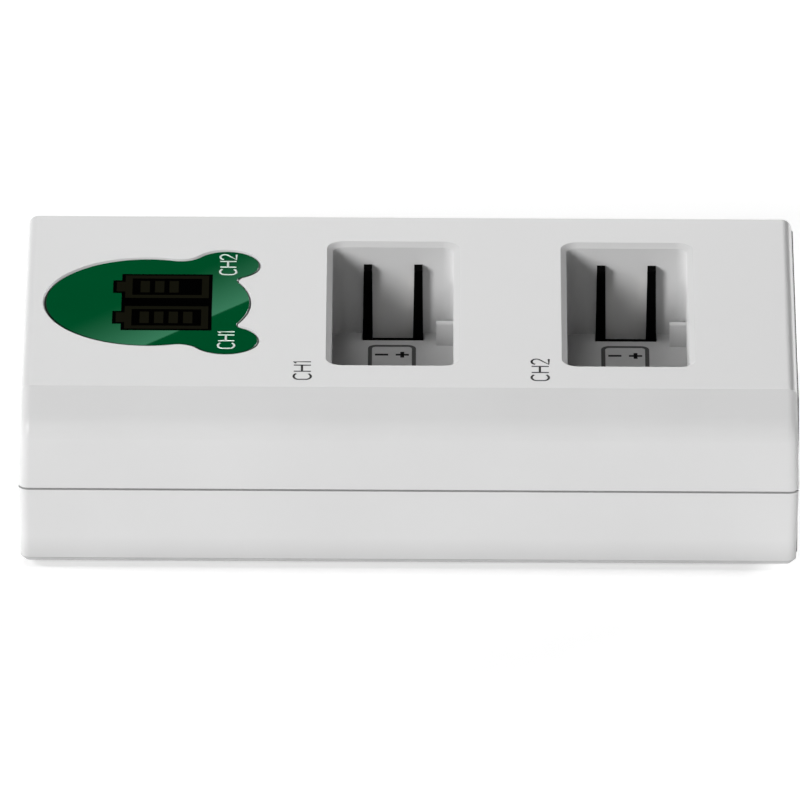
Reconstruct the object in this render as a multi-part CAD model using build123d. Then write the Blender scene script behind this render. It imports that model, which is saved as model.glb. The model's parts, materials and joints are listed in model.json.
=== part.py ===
from build123d import *
from math import copysign, radians, tan
import os

# A desk charger with two open bays for slim camera batteries, in millimetres.
# The origin is under the middle of the body at table height. X runs along the body, Y to its back, Z up.

# Battery that each bay takes, standing on its contact end
battery_width = 33.0
battery_thickness = 14.0
bay_clearance_long = 1.0
bay_clearance_short = 0.6

# Bays, moulded in one with the upper shell
bay_depth = 11.9
bay_wall = 1.4
bay_floor = 1.4
bay_corner_radius = 1.3
rim_width = 0.7
rim_depth = 0.5
key_tab_reach = 2.05
key_tab_thickness = 0.85
key_tab_height = 3.0
key_tab_setback = 2.65
key_tab_rounding = 0.3

# Body, from its left end: the display zone, bay, gap, bay and end zone
display_zone = 37.2
bay_gap = 13.6
end_zone = 13.0
front_margin = 6.8
back_margin = 7.6
shoulder_run = 4.0
shoulder_drop = 3.65
shoulder_blend = 3.8
draft_angle = 1.3
wall = 1.8
end_edge_radius = 1.2
base_edge_bevel = 0.6

# Heights, from the table up
foot_stand = 0.6
lower_floor = 1.8
board_standoff = 2.4
board_thickness = 1.6
under_bay_space = 2.4
seam_height = 9.9

# Seam between the shells: a shadow line outside and a tongue inside
shadow_gap = 0.25
shadow_depth = 0.5
tongue_thickness = 0.8
tongue_height = 1.0
shell_clearance = 0.1

# Display window and what lies under it
window_centre_from_end = 15.05
window_forward = 0.3
window_round_radius = 12.35
window_lobe_radius = 4.0
window_lobe_ahead = 9.4
window_lobe_aside = 10.65
window_waist_blend = 3.0
window_notch_blend = 1.0
window_thickness = 1.2
window_edge_bevel = 0.15
window_set_down = 0.1
window_lip = 0.2
window_clearance = 0.08
display_width = 14.5
display_length = 18.5
display_glass_thickness = 1.1
display_offset = 2.3
display_border = 0.8
display_gap = 0.1
light_box_wall = 1.0
pin_count = 10
pin_pitch = 1.6
pin_size = 0.45
lamp_length = 3.0
lamp_width = 1.6
lamp_height = 1.2
lamp_pitch = 8.0

# Contacts
rib_offset = 3.05
rib_depth = 2.0
rib_top_width = 1.0
rib_base_width = 1.24
rib_top_below_face = 2.7
rib_clearance = 0.1
carrier_flange = 1.6
carrier_length = 6.0
contact_thickness = 0.3
contact_depth = 1.2
contact_top_below_rib = 1.0
bridge_below_floor = 0.6

# Circuit board
board_side_gap = 1.0
board_end_gap = 0.6
board_hole_clearance = 0.35

# Screws and their bosses
screw_inset_x = 7.0
screw_inset_y = 7.4
screw_shank = 2.4
screw_length = 9.0
screw_head = 4.4
screw_head_height = 1.6
screw_head_recess = 2.4
screw_hole = 2.9
pilot_clearance = 0.1
pilot_overrun = 1.0
boss_joint_above_board = 1.0
boss_diameter = 5.8
lower_boss_diameter = 6.6
cross_slot_length = 2.6
cross_slot_width = 0.6
cross_slot_depth = 0.9
board_screw_shank = 1.9
board_screw_length = 4.0
board_screw_head = 3.6
board_screw_head_height = 1.2
board_screw_from_end = 24.0
post_diameter = 5.0

# Feet
foot_diameter = 8.0
foot_recess = 0.6
foot_inset_x = 17.0
foot_inset_y = 8.5

# End panel and its sockets
panel_margin = 1.2
panel_thickness = 2.0
panel_proud = 0.17
panel_clearance = 0.1
panel_edge_bevel = 0.15
socket_spacing = 16.0
socket_setback = 0.5
socket_opening_gap = 0.25
usb_c_width = 8.94
usb_c_height = 3.26
usb_c_depth = 7.4
usb_c_roundness = 0.49
usb_c_tongue_width = 6.7
usb_c_tongue_thickness = 0.7
usb_c_tongue_setback = 1.0
micro_width = 7.8
micro_height = 2.8
micro_taper = 1.1
micro_depth = 5.6
micro_tongue_width = 5.0
micro_tongue_thickness = 0.6
micro_tongue_setback = 1.2
socket_sheet = 0.3

# Parts on the circuit board
inductor_size = 7.3
inductor_height = 4.5
inductor_corner = 1.2
inductor_spacing = 24.0
capacitor_diameter = 6.3
capacitor_height = 7.7
capacitor_base = 6.6
capacitor_base_height = 0.8
capacitor_spacing = 8.0
controller_size = 7.0
chip_length = 5.0
chip_width = 4.0
chip_height = 1.4
chip_bevel = 0.25
chip_spacing = 24.0
small_length = 2.0
small_width = 1.25
small_height = 0.8
small_pitch = 3.0
small_count = 6

# Sizes that follow from those above
bay_size_x = battery_thickness + bay_clearance_short
bay_size_y = battery_width + bay_clearance_long
body_length = display_zone + 2 * bay_size_x + bay_gap + end_zone
top_depth = front_margin + bay_size_y + back_margin
body_depth = top_depth + 2 * shoulder_run
left_end = -body_length / 2
right_end = body_length / 2
base_z = foot_stand
tray_z = base_z + lower_floor
board_z = tray_z + board_standoff
board_top = board_z + board_thickness
bay_underside = board_top + under_bay_space
bay_floor_z = bay_underside + bay_floor
top_z = bay_floor_z + bay_depth
ceiling_z = top_z - wall
seam_z = base_z + seam_height
shoulder_z = top_z - shoulder_drop
lean = tan(radians(draft_angle))
bay_1_x = left_end + display_zone + bay_size_x / 2
bay_2_x = bay_1_x + bay_size_x + bay_gap
bay_y = -top_depth / 2 + front_margin + bay_size_y / 2
bay_back = bay_y + bay_size_y / 2
gap_x = (bay_1_x + bay_2_x) / 2
display_edge_x = bay_1_x - bay_size_x / 2 - bay_wall
window_x = left_end + window_centre_from_end
window_y = -window_forward
window_seat_z = top_z - window_set_down - window_thickness
display_x = window_x + display_offset
panel_face_x = right_end - (top_z - seam_z) * lean + panel_proud
panel_back_x = panel_face_x - panel_thickness
cavity_left = left_end + wall + (top_z - seam_z) * lean
screw_places = [(x, y) for x in (left_end + screw_inset_x, right_end - screw_inset_x)
                for y in (-body_depth / 2 + screw_inset_y, body_depth / 2 - screw_inset_y)]
foot_places = [(x, y) for x in (left_end + foot_inset_x, right_end - foot_inset_x)
               for y in (-body_depth / 2 + foot_inset_y, body_depth / 2 - foot_inset_y)]
board_screw_x = body_length / 2 - board_screw_from_end
board_screw_y = body_depth / 2 - screw_inset_y
board_screw_places = [(-board_screw_x, -board_screw_y), (board_screw_x, board_screw_y)]
screw_seat_z = base_z + screw_head_recess
pilot_end_z = screw_seat_z + screw_length + pilot_overrun
boss_joint_z = board_top + boss_joint_above_board
socket_x = panel_face_x - socket_setback
far = 2 * (body_length + body_depth)

# Points closer than this count as one when edges are picked
same_place = 0.01


def block(x_range, y_range, z_range):
    """A plain block between two values along each axis."""
    size = [high - low for low, high in (x_range, y_range, z_range)]
    centre = [(high + low) / 2 for low, high in (x_range, y_range, z_range)]
    return Pos(*centre) * Box(*size)


def rod(place, diameter, z_range):
    """An upright cylinder between two heights."""
    low, high = z_range
    return Pos(place[0], place[1], (low + high) / 2) * Cylinder(diameter / 2, high - low)


def half_depth(z):
    return body_depth / 2 - abs(z - seam_z) * lean


def half_length(z):
    return body_length / 2 - abs(z - seam_z) * lean


def body_section(inset=0.0):
    """The body's outline seen from its end, with the sloped shoulders and their soft lower blend."""
    right = [(half_depth(base_z), base_z), (half_depth(seam_z), seam_z),
             (half_depth(shoulder_z), shoulder_z), (top_depth / 2, top_z)]
    left = [(-y, z) for y, z in reversed(right)]
    outline = Polygon(*right, *left, align=None)
    shoulders = [v for v in outline.vertices() if abs(v.Y - shoulder_z) < same_place]
    outline = fillet(shoulders, shoulder_blend)
    if inset:
        outline = offset(outline, -inset, kind=Kind.INTERSECTION)
    return Plane.YZ * outline


def section_bar(inset, x_range):
    """The body's section, moved in by inset, as a bar along X."""
    low, high = x_range
    return Pos(low, 0, 0) * extrude(body_section(inset), high - low)


def outer_body():
    """The whole closed body, with ends that lean in from the seam both ways."""
    side = [(half_length(base_z), base_z), (half_length(seam_z), seam_z), (half_length(top_z), top_z)]
    side += [(-x, z) for x, z in reversed(side)]
    ends = extrude(Plane.XZ * Polygon(*side, align=None), body_depth, both=True)
    return section_bar(0.0, (-body_length, body_length)) & ends


def end_face_edges(half):
    """Edges round both end faces, without those that lie in the seam or the base."""
    ends = half.faces().sort_by(Axis.X)
    flat = (seam_z, base_z)
    return [e for face in (ends[0], ends[-1]) for e in face.edges()
            if all(abs(e.center().Z - z) > same_place for z in flat)]


def upper_outer():
    half = outer_body() & block((-far, far), (-far, far), (seam_z, top_z))
    return fillet(end_face_edges(half), end_edge_radius)


def lower_outer():
    half = outer_body() & block((-far, far), (-far, far), (base_z, seam_z))
    half = fillet(end_face_edges(half), end_edge_radius)
    return chamfer(half.faces().sort_by(Axis.Z)[0].edges(), base_edge_bevel)


def tongue_ring(gap, z_range):
    """The ring inside the seam, on three sides: the end panel closes the fourth."""
    outside = wall - tongue_thickness - gap
    inside = wall + gap
    ring = Rectangle(body_length - 2 * outside, body_depth - 2 * outside)
    ring -= Rectangle(body_length - 2 * inside, body_depth - 2 * inside)
    low, high = z_range
    ring = Pos(0, 0, low) * extrude(ring, high - low)
    return ring - block((panel_back_x - panel_margin - wall, far), (-far, far), (0, far))


def bay_places():
    return [(bay_1_x, bay_y), (bay_2_x, bay_y)]


def bay_pocket(place):
    """The open room of one bay, with its sloped rim."""
    x, y = place
    room = extrude(RectangleRounded(bay_size_x, bay_size_y, bay_corner_radius), bay_depth)
    mouth = RectangleRounded(bay_size_x + 2 * rim_width, bay_size_y + 2 * rim_width,
                             bay_corner_radius + rim_width)
    waist = RectangleRounded(bay_size_x, bay_size_y, bay_corner_radius)
    rim = loft([Pos(0, 0, bay_depth) * mouth, Pos(0, 0, bay_depth - rim_depth) * waist])
    return Pos(x, y, bay_floor_z) * (room + rim)


def bay_tub(place):
    """The outside of one bay, as it hangs under the top."""
    x, y = place
    half_x = bay_size_x / 2 + bay_wall
    half_y = bay_size_y / 2 + bay_wall
    return block((x - half_x, x + half_x), (y - half_y, y + half_y), (bay_underside, ceiling_z + wall / 2))


def key_tab(place):
    """The low tab at the bay's right wall that lets the battery in one way round only."""
    x = place[0] + bay_size_x / 2
    back = bay_back - key_tab_setback
    tab = block((x - key_tab_reach, x + bay_wall / 2), (back - key_tab_thickness, back),
                (bay_floor_z - bay_floor / 2, bay_floor_z + key_tab_height))
    top = tab.faces().sort_by(Axis.Z)[-1]
    return fillet(top.edges().filter_by(Axis.X), key_tab_rounding)


def contact_notch(place):
    """The slot in the bay's floor at its back wall, where the contact ribs come up."""
    half = rib_offset + rib_base_width / 2 + rib_clearance
    return block((place[0] - half, place[0] + half), (bay_back - rib_depth - rib_clearance, bay_back),
                 (bay_underside, bay_floor_z))


def window_outline(gap=0.0):
    """The display window seen from above, grown by gap: a round with two lobes, blended where they meet."""
    outline = Circle(window_round_radius + gap)
    for side in (-1, 1):
        outline += Pos(window_lobe_ahead, side * window_lobe_aside) * Circle(window_lobe_radius + gap)
    corners = outline.vertices().sort_by(Axis.X)
    outline = fillet(corners[:2], window_waist_blend - gap)
    notches = [v for v in outline.vertices()
               if min((v.center() - corner.center()).length for corner in corners[-2:]) < same_place]
    return Pos(window_x, window_y) * fillet(notches, window_notch_blend - gap)


def upper_shell():
    shell = upper_outer() - section_bar(wall, (cavity_left, far))
    shell -= section_bar(panel_margin - panel_clearance, (panel_back_x, far))
    shell -= tongue_ring(shell_clearance, (seam_z, seam_z + tongue_height + shell_clearance))
    for place in screw_places:
        shell += rod(place, boss_diameter, (boss_joint_z, ceiling_z + wall / 2))
        shell -= rod(place, screw_shank + pilot_clearance, (boss_joint_z, pilot_end_z))
    for place in bay_places():
        shell += bay_tub(place)
        shell -= bay_pocket(place)
        shell += key_tab(place)
        shell -= contact_notch(place)
    shell -= Pos(0, 0, window_seat_z) * extrude(window_outline(window_clearance), top_z - window_seat_z)
    lip = extrude(window_outline(window_clearance + window_lip), 2 * window_lip)
    lip = chamfer(lip.faces().sort_by(Axis.Z)[0].edges(), window_lip)
    shell -= Pos(0, 0, top_z - window_lip) * lip
    half_x = display_width / 2 - display_border
    half_y = display_length / 2 - display_border
    shell -= block((display_x - half_x, display_x + half_x), (window_y - half_y, window_y + half_y),
                   (ceiling_z, top_z))
    return shell


def lower_shell():
    shell = lower_outer()
    ledge = Rectangle(2 * body_length, 2 * body_depth)
    ledge -= Rectangle(body_length - 2 * shadow_depth, body_depth - 2 * shadow_depth)
    shell -= Pos(0, 0, seam_z - shadow_gap) * extrude(ledge, shadow_gap)
    shell += tongue_ring(0.0, (seam_z - wall, seam_z + tongue_height))
    tray = section_bar(wall, (cavity_left, far)) & block((-far, far), (-far, far), (tray_z, far))
    shell -= tray
    shell -= section_bar(panel_margin - panel_clearance, (panel_back_x, far))
    for place in screw_places:
        shell += rod(place, lower_boss_diameter, (tray_z - lower_floor / 2, boss_joint_z))
        shell -= rod(place, screw_hole, (base_z, boss_joint_z))
        shell -= rod(place, screw_head + 2 * pilot_clearance, (base_z, screw_seat_z))
    for place in board_screw_places:
        shell += rod(place, post_diameter, (tray_z - lower_floor / 2, board_z))
        shell -= rod(place, board_screw_shank + pilot_clearance, (tray_z - lower_floor / 2, board_z))
    for place in foot_places:
        shell -= rod(place, foot_diameter, (base_z, base_z + foot_recess))
    return shell


def display_window():
    """The lens, glued into its recess a little below the top face."""
    lens = Pos(0, 0, window_seat_z) * extrude(window_outline(), window_thickness)
    return chamfer(lens.faces().sort_by(Axis.Z)[-1].edges(), window_edge_bevel)


def display_glass():
    top = ceiling_z - display_gap
    return block((display_x - display_width / 2, display_x + display_width / 2),
                 (window_y - display_length / 2, window_y + display_length / 2),
                 (top - display_glass_thickness, top))


def display_light_box():
    """An open white tube that stands on the board and carries the glass."""
    top = ceiling_z - display_gap - display_glass_thickness
    half_x = display_width / 2
    half_y = display_length / 2
    box = block((display_x - half_x, display_x + half_x), (window_y - half_y, window_y + half_y),
                (board_top, top))
    inner_x = half_x - light_box_wall
    inner_y = half_y - light_box_wall
    return box - block((display_x - inner_x, display_x + inner_x), (window_y - inner_y, window_y + inner_y),
                       (board_top, top))


def display_pins():
    """Pins at the glass's outer edge, from the glass down to the board."""
    x = display_x - display_width / 2 - pin_size / 2
    top = ceiling_z - display_gap
    pins = []
    for number in range(pin_count):
        y = window_y + (number - (pin_count - 1) / 2) * pin_pitch
        pins.append(block((x - pin_size / 2, x + pin_size / 2), (y - pin_size / 2, y + pin_size / 2),
                          (board_top, top)))
    return Compound(children=pins)


def backlight_lamps():
    lamps = [block((display_x - lamp_length / 2, display_x + lamp_length / 2),
                   (y - lamp_width / 2, y + lamp_width / 2), (board_top, board_top + lamp_height))
             for y in (window_y - lamp_pitch / 2, window_y + lamp_pitch / 2)]
    return Compound(children=lamps)


def rib_places(place):
    return [place[0] - rib_offset, place[0] + rib_offset]


def contact_slot(x, toward, opening):
    """The room for one contact strip on the side of a rib that faces the middle of the bay."""
    outer = x + toward * rib_top_width / 2
    inner = outer - toward * contact_thickness
    low, high = sorted((inner, outer + toward * opening))
    middle = bay_back - rib_clearance - (rib_depth - rib_clearance) / 2
    return block((low, high), (middle - contact_depth / 2, middle + contact_depth / 2),
                 (board_top, top_z - rib_top_below_face - contact_top_below_rib))


def contact_carrier(place):
    """Two tapered ribs against the bay's back wall, on a flange that stands on the board."""
    x = place[0]
    flange_half = rib_offset + rib_base_width / 2 + carrier_flange
    back = bay_back - rib_clearance
    rib_foot = bay_underside - rib_clearance
    rib_head = top_z - rib_top_below_face
    carrier = block((x - flange_half, x + flange_half), (back - carrier_length, back), (board_top, rib_foot))
    for rib_x in rib_places(place):
        outline = Polygon((-rib_base_width / 2, rib_foot), (rib_base_width / 2, rib_foot),
                          (rib_top_width / 2, rib_head), (-rib_top_width / 2, rib_head), align=None)
        carrier += Pos(rib_x, back, 0) * extrude(Plane.XZ * outline, rib_depth - rib_clearance)
    for rib_x, toward in zip(rib_places(place), (1, -1)):
        carrier -= contact_slot(rib_x, toward, rib_base_width)
    bridge_half = rib_offset - rib_top_width / 2 - rib_clearance
    return carrier + block((x - bridge_half, x + bridge_half), (back - rib_depth + rib_clearance, back),
                           (board_top, bay_floor_z - bridge_below_floor))


def contact_strip(place, side):
    toward = -side
    return contact_slot(place[0] + side * rib_offset, toward, 0.0)


def circuit_board():
    """The board, with its corners cut out round the case bosses."""
    board = block((cavity_left + board_end_gap, panel_back_x - board_end_gap),
                  (-body_depth / 2 + wall + board_side_gap, body_depth / 2 - wall - board_side_gap),
                  (board_z, board_top))
    notch = lower_boss_diameter / 2 + board_hole_clearance
    for x, y in screw_places:
        outward_x = copysign(1, x)
        outward_y = copysign(1, y)
        board -= block(sorted((x - outward_x * notch, outward_x * far)),
                       sorted((y - outward_y * notch, outward_y * far)), (board_z, board_top))
    for place in board_screw_places:
        board -= rod(place, board_screw_shank + 2 * board_hole_clearance, (board_z, board_top))
    return board


def cross_headed_screw(place, seat_z, shank, length, head, head_height, up):
    """A screw on its head's bearing face at seat_z, whose shank points up or down."""
    way = 1 if up else -1
    tip = seat_z + way * length
    crown = seat_z - way * head_height
    screw = rod(place, shank, sorted((seat_z, tip))) + rod(place, head, sorted((seat_z, crown)))
    x, y = place
    bottom = crown + way * cross_slot_depth
    for long_x, long_y in ((cross_slot_length, cross_slot_width), (cross_slot_width, cross_slot_length)):
        screw -= block((x - long_x / 2, x + long_x / 2), (y - long_y / 2, y + long_y / 2),
                       sorted((crown, bottom)))
    return screw


def case_screw(place):
    return cross_headed_screw(place, screw_seat_z, screw_shank, screw_length, screw_head,
                              screw_head_height, True)


def board_screw(place):
    return cross_headed_screw(place, board_top, board_screw_shank, board_screw_length, board_screw_head,
                              board_screw_head_height, False)


def rubber_foot(place):
    return rod(place, foot_diameter - 2 * shell_clearance, (0.0, base_z + foot_recess))


def usb_c_outline(grow=0.0):
    width = usb_c_width + 2 * grow
    height = usb_c_height + 2 * grow
    return RectangleRounded(width, height, height * usb_c_roundness)


def micro_outline(grow=0.0):
    """A wide shallow hexagon whose lower corners are cut off."""
    half_width = micro_width / 2 + grow
    half_height = micro_height / 2 + grow
    foot = half_width - micro_taper
    return Polygon((-half_width, half_height), (-half_width, 0.0), (-foot, -half_height),
                   (foot, -half_height), (half_width, 0.0), (half_width, half_height), align=None)


def facing_end(y, z, x):
    """A plane at x whose sketch is seen from the right end, with its own X along the body's Y."""
    return Plane(origin=(x, y, z), x_dir=(0, 1, 0), z_dir=(1, 0, 0))


usb_c_y = -socket_spacing / 2
micro_y = socket_spacing / 2
usb_c_z = board_top + usb_c_height / 2
micro_z = board_top + micro_height / 2


def socket_shell(outline, y, z, depth):
    """A drawn metal shell, closed at its back and open towards the end panel."""
    back = socket_x - depth
    shell = extrude(facing_end(y, z, back) * outline(), depth)
    return shell - extrude(facing_end(y, z, back + socket_sheet) * outline(-socket_sheet), depth)


def usb_c_shell():
    return socket_shell(usb_c_outline, usb_c_y, usb_c_z, usb_c_depth)


def usb_c_tongue():
    back = socket_x - usb_c_depth + socket_sheet
    tongue = block((back, socket_x - usb_c_tongue_setback),
                   (usb_c_y - usb_c_tongue_width / 2, usb_c_y + usb_c_tongue_width / 2),
                   (usb_c_z - usb_c_tongue_thickness / 2, usb_c_z + usb_c_tongue_thickness / 2))
    return tongue


def micro_usb_shell():
    return socket_shell(micro_outline, micro_y, micro_z, micro_depth)


def micro_usb_tongue():
    top = micro_z + micro_height / 2 - 2 * socket_sheet
    return block((socket_x - micro_depth + socket_sheet, socket_x - micro_tongue_setback),
                 (micro_y - micro_tongue_width / 2, micro_y + micro_tongue_width / 2),
                 (top - micro_tongue_thickness, top))


def end_panel():
    """The black panel that closes the right end, with an opening for each socket."""
    panel = section_bar(panel_margin, (panel_back_x, panel_face_x))
    panel = chamfer(panel.faces().sort_by(Axis.X)[-1].edges(), panel_edge_bevel)
    for plane, outline in ((facing_end(usb_c_y, usb_c_z, 0), usb_c_outline),
                           (facing_end(micro_y, micro_z, 0), micro_outline)):
        panel -= extrude(plane * outline(socket_opening_gap), far)
    return panel


def power_inductor(place):
    body = block((place[0] - inductor_size / 2, place[0] + inductor_size / 2),
                 (place[1] - inductor_size / 2, place[1] + inductor_size / 2),
                 (board_top, board_top + inductor_height))
    return chamfer(body.edges().filter_by(Axis.Z), inductor_corner)


def filter_capacitor(place):
    """A round aluminium can on its square plastic base."""
    x, y = place
    half = capacitor_base / 2
    can_foot = board_top + capacitor_base_height
    base = block((x - half, x + half), (y - half, y + half), (board_top, can_foot))
    return base + rod(place, capacitor_diameter, (can_foot, board_top + capacitor_height))


def chip(place, length, width):
    x, y = place
    body = block((x - length / 2, x + length / 2), (y - width / 2, y + width / 2),
                 (board_top, board_top + chip_height))
    return chamfer(body.faces().sort_by(Axis.Z)[-1].edges(), chip_bevel)


def small_parts(places, length, width, height):
    return Compound(children=[block((x - length / 2, x + length / 2), (y - width / 2, y + width / 2),
                                    (board_top, board_top + height)) for x, y in places])


def build():
    chip_x = (display_edge_x + window_x + window_round_radius) / 2
    pieces = {
        "upper_shell": upper_shell(),
        "lower_shell": lower_shell(),
        "display_window": display_window(),
        "display_glass": display_glass(),
        "display_light_box": display_light_box(),
        "display_pins": display_pins(),
        "backlight_lamps": backlight_lamps(),
        "end_panel": end_panel(),
        "circuit_board": circuit_board(),
        "usb_c_shell": usb_c_shell(),
        "usb_c_tongue": usb_c_tongue(),
        "micro_usb_shell": micro_usb_shell(),
        "micro_usb_tongue": micro_usb_tongue(),
        "controller_chip": chip((chip_x, 0.0), controller_size, controller_size),
    }
    for number, place in enumerate(bay_places(), 1):
        pieces[f"contact_carrier_{number}"] = contact_carrier(place)
        pieces[f"contact_strip_{number}_left"] = contact_strip(place, -1)
        pieces[f"contact_strip_{number}_right"] = contact_strip(place, 1)
    for number, side in enumerate((-1, 1), 1):
        pieces[f"power_inductor_{number}"] = power_inductor((gap_x, side * inductor_spacing / 2))
        pieces[f"filter_capacitor_{number}"] = filter_capacitor((gap_x, side * capacitor_spacing / 2))
        pieces[f"charge_chip_{number}"] = chip((chip_x, side * chip_spacing / 2), chip_length, chip_width)
    for number, place in enumerate(screw_places, 1):
        pieces[f"case_screw_{number}"] = case_screw(place)
    for number, place in enumerate(board_screw_places, 1):
        pieces[f"board_screw_{number}"] = board_screw(place)
    for number, place in enumerate(foot_places, 1):
        pieces[f"rubber_foot_{number}"] = rubber_foot(place)
    row_x = bay_2_x + bay_size_x / 2 + bay_wall + small_length
    row = [(row_x, (number - (small_count - 1) / 2) * small_pitch) for number in range(small_count)]
    pieces["chip_capacitors"] = small_parts(row, small_length, small_width, small_height)
    return pieces


os.makedirs("parts", exist_ok=True)
for name, piece in build().items():
    export_step(piece, f"parts/{name}.step")
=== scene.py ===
# %% [markdown]
# A desk charger for two slim camera batteries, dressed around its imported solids.
# The solids already have the right shape and size: two white shells, a green display window, black contact
# ribs and a black socket panel. What is left for this lesson is the finish of every surface, the printed
# marks, the small metal contacts, the light and the camera. Lengths are in metres, and MM turns a
# millimetre into a metre.

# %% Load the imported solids
import json
from math import cos, radians, sin

import bpy
from mathutils import Matrix, Vector


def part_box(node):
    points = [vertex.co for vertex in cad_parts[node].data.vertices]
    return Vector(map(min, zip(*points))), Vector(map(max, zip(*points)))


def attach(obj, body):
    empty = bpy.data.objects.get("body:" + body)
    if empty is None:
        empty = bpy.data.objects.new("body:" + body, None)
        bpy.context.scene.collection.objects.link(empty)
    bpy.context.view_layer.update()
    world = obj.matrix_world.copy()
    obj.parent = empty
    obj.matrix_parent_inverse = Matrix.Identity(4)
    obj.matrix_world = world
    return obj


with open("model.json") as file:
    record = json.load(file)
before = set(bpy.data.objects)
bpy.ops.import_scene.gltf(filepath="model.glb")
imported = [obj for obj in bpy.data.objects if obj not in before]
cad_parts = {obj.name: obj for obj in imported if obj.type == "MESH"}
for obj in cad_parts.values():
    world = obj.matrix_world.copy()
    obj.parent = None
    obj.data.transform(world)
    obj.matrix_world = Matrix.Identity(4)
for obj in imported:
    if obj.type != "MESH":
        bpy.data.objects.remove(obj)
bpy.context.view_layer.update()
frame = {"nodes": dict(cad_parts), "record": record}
nodes = frame["nodes"]
MM = 0.001

# %% [markdown]
# The camera comes first, because the light and the reflections are set up for what it sees. It is a very
# long lens, more than two metres away, so upright edges stay almost parallel. The look-at point and the
# pixel where it lands, together with the small roll, put the body where it belongs in the square frame.
# Turning the camera a little does the same as shifting its lens, so no shift is needed.

# %% Camera
look_at = Vector((0.0, 0.0, 0.010))
look_at_pixel = (409.08, 392.87)
picture_size = 800
look_down = radians(25.17)
roll = radians(0.302)
camera_distance = 2.366
focal_pixels = 19652.7
sensor_width = 36.0

forward = Vector((0, cos(look_down), -sin(look_down)))
level_right = Vector((1, 0, 0))
level_up = level_right.cross(forward)
right = cos(roll) * level_right + sin(roll) * level_up
up = cos(roll) * level_up - sin(roll) * level_right
eye = look_at - camera_distance * forward
pixel = camera_distance / focal_pixels
aim = look_at - right * (look_at_pixel[0] - picture_size / 2) * pixel
aim += up * (look_at_pixel[1] - picture_size / 2) * pixel

lens_data = bpy.data.cameras.new("long_lens")
lens_data.sensor_width = sensor_width
lens_data.lens = focal_pixels / picture_size * sensor_width
lens_data.clip_start = 0.1
lens_data.clip_end = 30.0
camera = bpy.data.objects.new("camera", lens_data)
bpy.context.scene.collection.objects.link(camera)
backward = (eye - aim).normalized()
right = (right - right.dot(backward) * backward).normalized()
axes = Matrix((right, backward.cross(right), backward)).transposed()
camera.matrix_world = Matrix.Translation(eye) @ axes.to_4x4()
bpy.context.scene.camera = camera
print("lens:", round(lens_data.lens), "mm, one pixel covers", round(pixel / MM, 4), "mm")

# %% [markdown]
# `put` makes an object from a mesh, links it, gives its mesh a material if it has none, and sets it on the
# one body, so every piece rides on it. `new_tree` starts a node group with named sockets. An input has no
# value of its own where the modifier always gives one.

# %% Helpers for pieces and node groups
def put(mesh, material):
    """Link a finished mesh as a piece that rides on the body."""
    piece = bpy.data.objects.new(mesh.name, mesh)
    bpy.context.scene.collection.objects.link(piece)
    if material and not mesh.materials:
        mesh.materials.append(material)
    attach(piece, "root")
    return piece


def new_tree(name, kind, inputs, outputs):
    """A node group with its own sockets. An input is (name, kind) or (name, kind, value)."""
    tree = bpy.data.node_groups.new(name, kind)
    for label, socket_kind, *value in inputs:
        socket = tree.interface.new_socket(label, in_out="INPUT", socket_type="NodeSocket" + socket_kind)
        if value:
            socket.default_value = value[0]
    for label, socket_kind in outputs:
        tree.interface.new_socket(label, in_out="OUTPUT", socket_type="NodeSocket" + socket_kind)
    return tree, tree.nodes.new("NodeGroupInput"), tree.nodes.new("NodeGroupOutput")


def lay_out(tree):
    """Spread the nodes out in a grid, so that the tree can be read in the editor."""
    for number, node in enumerate(tree.nodes):
        node.location = (220 * (number % 6), -260 * (number // 6))


print("helpers for pieces and groups ready")

# %% [markdown]
# A node tree reads best when each line makes one node. `node_at` adds a node and fills in its sockets, with
# plain values or with other nodes' outputs. Three kinds turn up all the time and get a name of their own: a
# sum, a ramp from one level to another, and a mix of two colours.

# %% Helpers for nodes
def node_at(tree, kind, *wires, **settings):
    """Add a node, set its properties, and fill sockets from (socket name or number, value or output)."""
    node = tree.nodes.new(kind)
    for name, value in settings.items():
        setattr(node, name, value)
    for socket, value in wires:
        if isinstance(value, bpy.types.NodeSocket):
            tree.links.new(value, node.inputs[socket])
        else:
            node.inputs[socket].default_value = value
    return node


def math_at(tree, operation, *values):
    """The output of a Math node. Each value is a number or another node's output."""
    return node_at(tree, "ShaderNodeMath", *enumerate(values), operation=operation).outputs[0]


def ramp_at(tree, value, start, end, low=0.0, high=1.0):
    """The output of a Map Range node: low up to start, high from end on, and a straight slope between."""
    return node_at(tree, "ShaderNodeMapRange", ("Value", value), ("From Min", start), ("From Max", end),
                   ("To Min", low), ("To Max", high), clamp=True).outputs[0]


def mix_at(tree, factor, first, second):
    """The output of a colour Mix node. Each side is (red, green, blue) or another node's output."""
    sides = [side if isinstance(side, bpy.types.NodeSocket) else (*side, 1) for side in (first, second)]
    mix = node_at(tree, "ShaderNodeMix", ("Factor", factor), (6, sides[0]), (7, sides[1]), data_type="RGBA")
    return mix.outputs[2]


print("helpers for nodes ready")

# %% [markdown]
# Moulded plastic is never quite even. Under a raking light it shows a fine spark-eroded grain, and over a
# few centimetres its tone drifts a little. Both belong to most of the finishes here, so they are one shader
# node group, `moulded_surface`, that is built once. It puts out a height for bump, a slow mottle and a
# roughness that varies with the mottle. Each material feeds it its own scale.

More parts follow.
